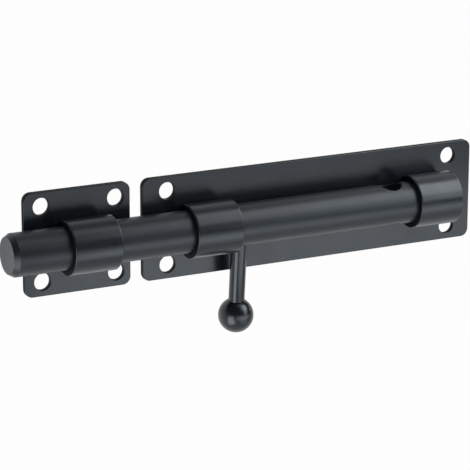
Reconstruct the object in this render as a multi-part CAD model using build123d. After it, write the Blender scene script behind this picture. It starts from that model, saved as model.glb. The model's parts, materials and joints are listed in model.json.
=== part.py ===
from build123d import *
from math import asin, cos, sin, sqrt
import os

# A surface-mounted door bolt: a round bar slides through two rolled collars on the
# door's plate and into a third collar on a smaller keep plate on the frame. A stem
# with a ball on its end moves the bar. A cross hole in the bar takes a padlock.
#
# Millimetres. The origin is the middle of the main plate's back face.
# +X runs along the bar, away from the keep. +Y goes into the door. +Z is up.

# Plates, cut from one thickness of sheet
plate_height = 50.0
plate_thickness = 2.5
plate_corner_radius = 4.0
plate_edge_round = 0.4
main_plate_length = 182.0
keep_plate_length = 54.0
plate_gap = 6.4

# Screw holes, plain and round
screw_hole_diameter = 8.3
screw_hole_edge_round = 0.3
screw_row_inset = 7.0
main_screw_inset = 13.0
keep_screw_left_inset = 8.9
keep_screw_right_inset = 7.5

# Sliding bar
bar_diameter = 20.5
bar_chamfer_length = 2.6
bar_chamfer_depth = 1.5
bar_stand_off = 0.3
nose_reach = 13.0
tail_setback = 2.0

# Rolled collars, open at the back, with their two feet welded flat to the plate
collar_wall = 2.5
collar_length = 24.0
collar_inset = 18.0
collar_running_clearance = 0.3
collar_foot_gap = 9.0
collar_edge_round = 0.6

# Padlock hole through the bar, beside the rear collar
padlock_hole_diameter = 11.4
padlock_hole_gap = 5.5
padlock_hole_chamfer = 0.5

# Stem: shouldered at both ends, screwed into the bar and into the ball. It leans until
# the ball hangs this gap clear of the door.
stem_diameter = 7.8
stem_collar_gap = 0.3
handle_reach = 46.1
ball_door_gap = 0.35
stem_seat_depth = 1.0
stem_seat_clearance = 0.2
spigot_diameter = 6.0
spigot_length = 8.0
spigot_chamfer = 0.6
thread_clearance = 0.05
thread_runout = 0.5

# Ball
ball_diameter = 17.2
ball_flat_diameter = 9.0

# Places worked out from the sizes above
bar_radius = bar_diameter / 2
bar_axis_y = -(plate_thickness + bar_stand_off + bar_radius)
collar_bore_radius = bar_radius + collar_running_clearance
collar_outer_radius = collar_bore_radius + collar_wall
keep_plate_x = -main_plate_length / 2 - plate_gap - keep_plate_length / 2
keep_pattern_x = keep_plate_x + (keep_screw_left_inset - keep_screw_right_inset) / 2
front_collar_x = -main_plate_length / 2 + collar_inset + collar_length / 2
rear_collar_x = main_plate_length / 2 - collar_inset - collar_length / 2
nose_x = keep_plate_x - keep_plate_length / 2 - nose_reach
tail_x = rear_collar_x + collar_length / 2 - tail_setback
padlock_hole_x = rear_collar_x - collar_length / 2 - padlock_hole_gap - padlock_hole_diameter / 2
stem_x = front_collar_x + collar_length / 2 + stem_collar_gap + stem_diameter / 2
main_screw_spacing = main_plate_length - 2 * main_screw_inset
keep_screw_spacing = keep_plate_length - keep_screw_left_inset - keep_screw_right_inset
screw_row_spacing = plate_height - 2 * screw_row_inset
stem_seat_distance = bar_radius - stem_seat_depth
ball_radius = ball_diameter / 2
handle_lean = asin((-bar_axis_y - ball_radius - ball_door_gap) / handle_reach)
ball_flat_distance = handle_reach - sqrt(ball_radius**2 - (ball_flat_diameter / 2) ** 2)


def screw_plate(length, middle_x, screw_spacing, screw_x):
    """A flat plate with round corners and four screw holes."""
    # the sketch plane faces the viewer, and the sheet grows from there back to the door
    face = Plane(origin=(middle_x, -plate_thickness, 0), x_dir=(1, 0, 0), z_dir=(0, -1, 0))
    holes = Pos(screw_x - middle_x, 0) * GridLocations(screw_spacing, screw_row_spacing, 2, 2)
    outline = RectangleRounded(length, plate_height, plate_corner_radius)
    sheet = extrude(face * outline, -plate_thickness)
    sheet = fillet(sheet.faces().sort_by(Axis.Y)[0].outer_wire().edges(), plate_edge_round)
    punch = Sketch() + [place * Circle(screw_hole_diameter / 2) for place in holes]
    sheet -= extrude(face * punch, -plate_thickness)
    rims = sheet.faces().sort_by(Axis.Y)[0].inner_wires().edges()
    return fillet(rims, screw_hole_edge_round)


def rolled_collar(middle_x):
    """A strap rolled round the bar, whose two ends stand flat on the plate."""
    section = Plane(origin=(middle_x, bar_axis_y, 0), x_dir=(0, 1, 0), z_dir=(1, 0, 0))
    ring = Circle(collar_outer_radius) - Circle(collar_bore_radius)
    beyond_feet = Rectangle(
        collar_outer_radius, 3 * collar_outer_radius, align=(Align.MIN, Align.CENTER)
    )
    foot_gap = Rectangle(2 * collar_outer_radius, collar_foot_gap, align=(Align.MIN, Align.CENTER))
    strap_end = ring - Pos(-plate_thickness - bar_axis_y, 0) * beyond_feet - foot_gap
    strap = extrude(section * strap_end, collar_length / 2, both=True)
    rims = strap.faces().filter_by(Axis.X).edges().filter_by(GeomType.CIRCLE)
    outer_rims = rims.filter_by(lambda rim: rim.radius > collar_bore_radius + collar_wall / 2)
    return fillet(outer_rims, collar_edge_round)


def handle_plane(distance):
    """A plane square to the stem, at a distance from the bar's axis, facing the ball."""
    along = Vector(0, sin(handle_lean), -cos(handle_lean))
    start = Vector(stem_x, bar_axis_y, 0)
    return Plane(origin=start + along * distance, x_dir=(1, 0, 0), z_dir=along)


def drilled(diameter, from_distance, to_distance):
    """A round tool along the stem's line, between two distances from the bar's axis."""
    depth = to_distance - from_distance
    return extrude(handle_plane(from_distance) * Circle(diameter / 2), depth)


def sliding_bar():
    """The round bar, turned down at both ends, with the padlock hole and the stem's seat."""
    end_radius = bar_radius - bar_chamfer_depth
    half_profile = Polyline(
        (nose_x, 0),
        (nose_x, end_radius),
        (nose_x + bar_chamfer_length, bar_radius),
        (tail_x - bar_chamfer_length, bar_radius),
        (tail_x, end_radius),
        (tail_x, 0),
        close=True,
    )
    bar = Pos(0, bar_axis_y, 0) * revolve(make_face(half_profile), Axis.X)
    hole_centre = Pos(padlock_hole_x, bar_axis_y, 0)
    bar -= hole_centre * Cylinder(padlock_hole_diameter / 2, 2 * bar_diameter)
    mouths = [
        edge
        for edge in bar.edges()
        if abs(edge.center(CenterOf.BOUNDING_BOX).X - padlock_hole_x) < padlock_hole_diameter / 4
        and edge.bounding_box().size.X > padlock_hole_diameter / 2
    ]
    bar = chamfer(mouths, padlock_hole_chamfer)
    seat_diameter = stem_diameter + 2 * stem_seat_clearance
    tapped_end = stem_seat_distance - spigot_length - thread_runout
    bar -= drilled(seat_diameter, stem_seat_distance, bar_diameter)
    bar -= drilled(spigot_diameter + 2 * thread_clearance, tapped_end, bar_diameter)
    return bar


def stem():
    """The turned stem, with a spigot at each end and a shoulder on each seat."""
    shank = drilled(stem_diameter, stem_seat_distance, ball_flat_distance)
    shank += drilled(spigot_diameter, stem_seat_distance - spigot_length, stem_seat_distance)
    shank += drilled(spigot_diameter, ball_flat_distance, ball_flat_distance + spigot_length)
    ends = shank.edges().filter_by(GeomType.CIRCLE).sort_by(Axis.Z)
    return chamfer([ends[0], ends[-1]], spigot_chamfer)


def ball():
    """The ball, with a flat for the stem's shoulder and a blind tapped hole."""
    middle = handle_plane(handle_reach)
    sphere = middle * Sphere(ball_radius)
    sphere -= drilled(ball_diameter, ball_flat_distance - ball_radius, ball_flat_distance)
    bottom = ball_flat_distance + spigot_length + thread_runout
    return sphere - drilled(spigot_diameter + 2 * thread_clearance, ball_flat_distance, bottom)


pieces = {
    "main_plate": screw_plate(main_plate_length, 0, main_screw_spacing, 0),
    "front_collar": rolled_collar(front_collar_x),
    "rear_collar": rolled_collar(rear_collar_x),
    "keep_plate": screw_plate(keep_plate_length, keep_plate_x, keep_screw_spacing, keep_pattern_x),
    "keep_collar": rolled_collar(keep_pattern_x),
    "bolt_bar": sliding_bar(),
    "handle_stem": stem(),
    "ball_knob": ball(),
}

os.makedirs("parts", exist_ok=True)
for name, shape in pieces.items():
    export_step(shape, f"parts/{name}.step")

travel = rear_collar_x - collar_length / 2 - stem_collar_gap - stem_diameter / 2 - stem_x
print(f"bar {tail_x - nose_x:.1f} long, travel {travel:.1f}, bar axis {-bar_axis_y:.1f} from the door")
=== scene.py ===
import json
import math

import bpy
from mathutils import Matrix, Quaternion, Vector

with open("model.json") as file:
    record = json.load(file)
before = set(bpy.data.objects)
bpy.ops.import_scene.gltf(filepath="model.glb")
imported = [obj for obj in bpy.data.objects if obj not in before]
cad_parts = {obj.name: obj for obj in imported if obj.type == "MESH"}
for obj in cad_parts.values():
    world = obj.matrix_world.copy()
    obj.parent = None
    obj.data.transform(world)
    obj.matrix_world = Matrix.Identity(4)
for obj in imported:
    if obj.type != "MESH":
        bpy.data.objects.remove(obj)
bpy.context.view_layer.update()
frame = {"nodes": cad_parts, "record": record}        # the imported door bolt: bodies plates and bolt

scene = bpy.context.scene
scene.view_settings.view_transform = "Standard"
mm = 0.001               # the frame is in metres


def hexColour(text):     # sRGB hex to the linear colour that shaders take
    levels = [int(text[i:i + 2], 16) / 255 for i in (1, 3, 5)]
    return [v / 12.92 if v < 0.04045 else ((v + 0.055) / 1.055) ** 2.4 for v in levels] + [1.0]


def addNode(tree, kind, values=None, links=None, **settings):
    node = tree.nodes.new("ShaderNode" + kind)
    for name, value in settings.items():
        setattr(node, name, value)
    for socket, value in (values or {}).items():
        node.inputs[socket].default_value = value
    for socket, source in (links or {}).items():
        tree.links.new(source, node.inputs[socket])
    return node


def emptyMaterial(name):
    material = bpy.data.materials.new(name)
    material.use_nodes = True
    material.node_tree.nodes.clear()
    return material, material.node_tree


# Camera, at the photograph's angle
cameraLook = {
    "yaw": 27.685,       # degrees to the right of straight at the door
    "pitch": 15.314,     # degrees down
    "roll": 0.07,
    "target": (-0.040583, 0.0, -0.00887),
    "distance": 1.197765,
    "focal": 2486.48,    # pixels of the photograph, which is as wide as frameWidth
    "frameWidth": 470,
    "sensor": 36,        # mm
}


def placeCamera(look):
    yaw, pitch, roll = (math.radians(look[turn]) for turn in ("yaw", "pitch", "roll"))
    level = math.cos(pitch)
    forward = Vector((math.sin(yaw) * level, math.cos(yaw) * level, -math.sin(pitch)))
    camera = bpy.data.cameras.new("camera")
    camera.lens = look["focal"] / look["frameWidth"] * look["sensor"]
    camera.sensor_width = look["sensor"]
    holder = bpy.data.objects.new("camera", camera)
    scene.collection.objects.link(holder)
    aim = forward.to_track_quat("-Z", "Y") @ Quaternion((0, 0, 1), roll)
    holder.rotation_euler = aim.to_euler()
    holder.location = Vector(look["target"]) - forward * look["distance"]
    scene.camera = holder


placeCamera(cameraLook)
print("camera placed")

# Powder coat: polyester powder sprayed on steel and baked. To the eye it is a near-black satin film
# with a faint orange peel. Painted shade: the sheet's cut edges and hole walls, and the strap's cut
# ends, are drawn darker and duller than the coat, for the shadow that falls on them.
# The coat is roughest on the sliding bar, and smoothest on the turned stem and ball.
coats = {
    "satin powder coat, flat sheet": {
        "slot": "coated_sheet", "colour": "#0F1519", "tone": "#12181D", "roughness": 0.26, "ior": 1.5,
        "peel": 1.6, "peelDepth": 0.003, "grit": 0.3,    # mm: width of a ripple, its height, fine grain
        "cut": {                 # told by how far a face's normal lies along the axis, from 0 to 1
            "axis": "Y", "whole": 0.65, "cut": 0.35,     # cut faces look along the sheet, not out of it
            # painted shade on the sheet's cut edges and hole walls: darker, rougher, less reflective
            "colour": "#06080A", "roughness": 0.6, "specular": 0.12,
        },
    },
    "satin powder coat, rolled strap": {
        "slot": "coated_collar", "colour": "#0F1519", "tone": "#12181D", "roughness": 0.28, "ior": 1.5,
        "peel": 1.4, "peelDepth": 0.003, "grit": 0.3,
        "cut": {
            "axis": "X", "whole": 0.85, "cut": 0.97,     # the strap's cut edges look along the bar
            # painted shade on the strap's cut ends: darker, rougher, less reflective
            "colour": "#0A0D10", "roughness": 0.55, "specular": 0.08,
        },
    },
    "satin powder coat, round bar": {
        "slot": "coated_bar", "colour": "#0F1519", "tone": "#12181D", "roughness": 0.4, "ior": 1.5,
        "peel": 1.4, "peelDepth": 0.003, "grit": 0.3,
    },
    "semi-gloss coat, turned stem": {
        "slot": "coated_stem", "colour": "#0E1317", "tone": "#11161A", "roughness": 0.17, "ior": 1.5,
        "peel": 1.0, "peelDepth": 0.002, "grit": 0.25,
    },
    "gloss coat, turned ball": {
        "slot": "coated_ball", "colour": "#0B0F13", "tone": "#0E1317", "roughness": 0.25, "ior": 1.56,
        "peel": 1.2, "peelDepth": 0.001, "grit": 0.25,
    },
}
film = {                     # what every coat shares
    "cloud": 14,             # mm across a patch where the film is a little thicker
    "cloudRange": (0.3, 0.7),    # the noise's usual lowest and highest value
    "sheenSpread": 0.03,     # roughness either side of the coat's own, from patch to patch
    "gritDepth": 0.0006,     # mm; the real grain is too fine to show, so it is drawn as wide as "grit"
    "reflection": "#EEF7FF",
}


def addCutFaceShade(tree, coordinates, surface, cut):    # painted shade: the faces that were cut are drawn darker and duller than the coat
    normal = addNode(tree, "SeparateXYZ", links={0: coordinates.outputs["Normal"]})
    lean = addNode(tree, "Math", links={0: normal.outputs[cut["axis"]]}, operation="ABSOLUTE")
    share = addNode(
        tree, "MapRange", {"From Min": cut["whole"], "From Max": cut["cut"]}, {"Value": lean.outputs[0]},
    )
    for socket, value, kind in (
        ("Base Color", hexColour(cut["colour"]), "RGBA"),
        ("Roughness", cut["roughness"], "FLOAT"),
    ):
        whole = surface.inputs[socket].links[0].from_socket
        mixed = addNode(tree, "Mix", {"B": value}, {"Factor": share.outputs[0], "A": whole}, data_type=kind)
        tree.links.new(mixed.outputs["Result"], surface.inputs[socket])
    # the reflection is turned down on the cut faces, as part of the painted shade
    level = addNode(
        tree, "MapRange", {"To Min": 0.5, "To Max": cut["specular"]}, {"Value": share.outputs[0]},
    )
    tree.links.new(level.outputs[0], surface.inputs["Specular IOR Level"])


def coatMaterial(name, look):
    material, tree = emptyMaterial(name)
    coordinates = addNode(tree, "TexCoord")
    place = coordinates.outputs["Object"]
    cloud = addNode(tree, "TexNoise", {"Scale": 1 / (film["cloud"] * mm), "Detail": 2.0}, {"Vector": place})
    peel = addNode(tree, "TexNoise", {"Scale": 1 / (look["peel"] * mm), "Detail": 1.0}, {"Vector": place})
    grit = addNode(tree, "TexNoise", {"Scale": 1 / (look["grit"] * mm), "Detail": 1.0}, {"Vector": place})
    tone = addNode(
        tree, "Mix", {"A": hexColour(look["colour"]), "B": hexColour(look["tone"])},
        {"Factor": cloud.outputs["Fac"]}, data_type="RGBA",
    )
    sheen = addNode(
        tree, "MapRange",
        {
            "From Min": film["cloudRange"][0], "To Min": look["roughness"] - film["sheenSpread"],
            "From Max": film["cloudRange"][1], "To Max": look["roughness"] + film["sheenSpread"],
        },
        {"Value": cloud.outputs["Fac"]},
    )
    ripples = addNode(
        tree, "Bump", {"Strength": 1.0, "Distance": look["peelDepth"] * mm}, {"Height": peel.outputs["Fac"]},
    )
    grain = addNode(
        tree, "Bump", {"Strength": 1.0, "Distance": film["gritDepth"] * mm},
        {"Height": grit.outputs["Fac"], "Normal": ripples.outputs["Normal"]},
    )
    surface = addNode(
        tree, "BsdfPrincipled",
        {"Metallic": 0.0, "IOR": look["ior"], "Specular Tint": hexColour(film["reflection"])},
        {
            "Base Color": tone.outputs["Result"],
            "Roughness": sheen.outputs["Result"],
            "Normal": grain.outputs["Normal"],
        },
    )
    if "cut" in look:
        addCutFaceShade(tree, coordinates, surface, look["cut"])
    addNode(tree, "OutputMaterial", links={"Surface": surface.outputs[0]})
    return material


bySlot = {look["slot"]: coatMaterial(name, look) for name, look in coats.items()}
slotOf = {part["node"]: part["material_slot"] for part in frame["record"]["subparts"]}
for name, node in frame["nodes"].items():
    node.data.materials.clear()
    node.data.materials.append(bySlot[slotOf[name]])
print("coats applied to", len(frame["nodes"]), "pieces")

# Studio: soft boxes and cards round the bolt, a white sweep below and behind it, dark above the camera.
# Places and sizes are in metres. Radiance is a lamp's brightness as a mirror would show it.
middle = (-0.04, -0.01, -0.02)
endOfBar = (-0.165, -0.013, 0.0)
lamps = {
    "front left soft box": {
        "place": (-0.465, -0.26, -0.261), "aim": middle, "size": (0.36, 0.513), "radiance": 3.6,
    },
    "front right soft box": {        # the sheen on the whole of the plates
        "place": (0.16, -0.455, -0.225), "aim": middle, "size": (0.44, 0.4), "radiance": 0.85,
    },
    "low card in front": {           # lifts the lower half of the plates
        "place": (0.05, -0.13, -0.062), "aim": (0.05, 0.0, -0.062), "size": (0.29, 0.055), "radiance": 1.35,
    },
    "upper right soft box": {        # this box and the next make the band along the bar's upper side
        "place": (0.37, -0.278, 0.424), "aim": (0.37, -0.013, 0.0), "size": (0.5, 0.445), "radiance": 2.2,
    },
    "far right soft box": {
        "place": (0.5, -0.348, 0.372), "aim": (0.5, -0.013, 0.0), "size": (0.42, 0.84), "radiance": 3.0,
    },
    "far right strip": {
        "place": (0.55, 0.06, 0.27), "aim": (0.0, -0.01, 0.0), "size": (0.2, 0.4), "radiance": 3.0,
    },
    "low card behind": {             # lifts the flat end of the bar
        "place": (-0.44, 0.49, -0.18), "aim": endOfBar, "size": (0.4, 0.4), "radiance": 0.2,
    },
    "top soft box": {
        "place": (0.027, -0.125, 0.514), "aim": middle, "size": (0.154, 0.295), "radiance": 0.9,
    },
}
for name, look in lamps.items():
    lamp = bpy.data.lights.new(name, "AREA")
    lamp.shape = "RECTANGLE"
    lamp.size, lamp.size_y = look["size"]
    lamp.energy = look["radiance"] * math.pi * look["size"][0] * look["size"][1]
    holder = bpy.data.objects.new(name, lamp)
    holder.location = look["place"]
    holder.rotation_euler = (Vector(look["aim"]) - holder.location).to_track_quat("-Z", "Y").to_euler()
    scene.collection.objects.link(holder)
print("lamps placed")


def studioRays(tree):    # 1 for the camera's own rays, and 1 for rays that gloss or glass sends on
    path = addNode(tree, "LightPath")
    sentOn = addNode(
        tree, "Math", links={0: path.outputs["Is Glossy Ray"], 1: path.outputs["Is Transmission Ray"]},
        operation="MAXIMUM",
    )
    return path.outputs["Is Camera Ray"], sentOn.outputs[0]


room = {
    "diffuse": 0.3,          # the light it sheds on matt surfaces
    "dark": 0.05,            # its strength in reflections in front and overhead
    "back": 0.9,             # and behind the bolt
    "turn": (-0.3, 0.3),     # where front turns to back, as a direction's share along Y
    "roof": (0.95, 0.75),    # where overhead turns to back, as its share along Z
}


def buildRoom(look):
    world = bpy.data.worlds.new("studio")
    scene.world = world
    world.use_nodes = True
    tree = world.node_tree
    tree.nodes.clear()
    camera, sentOn = studioRays(tree)
    direction = addNode(tree, "SeparateXYZ", links={0: addNode(tree, "TexCoord").outputs["Generated"]})
    behind = addNode(
        tree, "MapRange", {"From Min": look["turn"][0], "From Max": look["turn"][1]},
        {"Value": direction.outputs["Y"]}, interpolation_type="SMOOTHSTEP",
    )
    low = addNode(
        tree, "MapRange", {"From Min": look["roof"][0], "From Max": look["roof"][1]},
        {"Value": direction.outputs["Z"]}, interpolation_type="SMOOTHSTEP",
    )
    both = addNode(tree, "Math", operation="MULTIPLY", links={0: behind.outputs[0], 1: low.outputs[0]})
    gloss = addNode(
        tree, "MapRange", {"To Min": look["dark"], "To Max": look["back"]}, {"Value": both.outputs[0]},
    )
    lit = addNode(
        tree, "Mix", {"A": look["diffuse"]}, {"Factor": sentOn, "B": gloss.outputs[0]}, data_type="FLOAT",
    )
    seen = addNode(tree, "Mix", {"B": 1.0}, {"Factor": camera, "A": lit.outputs[0]}, data_type="FLOAT")
    white = addNode(tree, "Background", {"Color": hexColour("#FFFFFF")}, {"Strength": seen.outputs[0]})
    addNode(tree, "OutputWorld", links={"Surface": white.outputs[0]})


buildRoom(room)
print("room built")

floorLook = {
    "height": -0.6, "reach": 6.0, "colour": "#F2F2F2",
    "glow": 0.98,            # how white the camera sees it; the rest of it keeps the bolt's shadow
    "frontGloss": 0.25,      # its strength in reflections, on the camera's side of "front"
    "backGloss": 1.0,        # and beyond "back"
    "front": -0.2, "back": 0.35,
}


def buildFloor(look):
    reach, z = look["reach"], look["height"]
    corners = [(-reach, -reach, z), (reach, -reach, z), (reach, reach, z), (-reach, reach, z)]
    mesh = bpy.data.meshes.new("floor")
    mesh.from_pydata(corners, [], [(0, 1, 2, 3)])
    floor = bpy.data.objects.new("floor", mesh)
    scene.collection.objects.link(floor)
    material, tree = emptyMaterial("pale studio sweep")
    matt = addNode(tree, "BsdfDiffuse", {"Color": hexColour(look["colour"])})
    white = addNode(tree, "Emission", {"Color": hexColour("#FFFFFF"), "Strength": 1.0})
    camera, sentOn = studioRays(tree)
    depth = addNode(tree, "SeparateXYZ", links={0: addNode(tree, "TexCoord").outputs["Object"]})
    gloss = addNode(
        tree, "MapRange",
        {
            "From Min": look["front"], "From Max": look["back"],
            "To Min": look["frontGloss"], "To Max": look["backGloss"],
        },
        {"Value": depth.outputs["Y"]},
    )
    seen = addNode(tree, "Math", {1: look["glow"]}, {0: camera}, operation="MULTIPLY")
    share = addNode(
        tree, "Math", links={0: sentOn, 1: gloss.outputs[0], 2: seen.outputs[0]}, operation="MULTIPLY_ADD",
    )
    above = addNode(tree, "MixShader", links={0: share.outputs[0], 1: matt.outputs[0], 2: white.outputs[0]})
    clear = addNode(tree, "BsdfTransparent")         # seen from underneath, the floor isn't there
    under = addNode(tree, "NewGeometry").outputs["Backfacing"]
    sides = addNode(tree, "MixShader", links={0: under, 1: above.outputs[0], 2: clear.outputs[0]})
    addNode(tree, "OutputMaterial", links={"Surface": sides.outputs[0]})
    mesh.materials.append(material)


buildFloor(floorLook)
print("floor built")
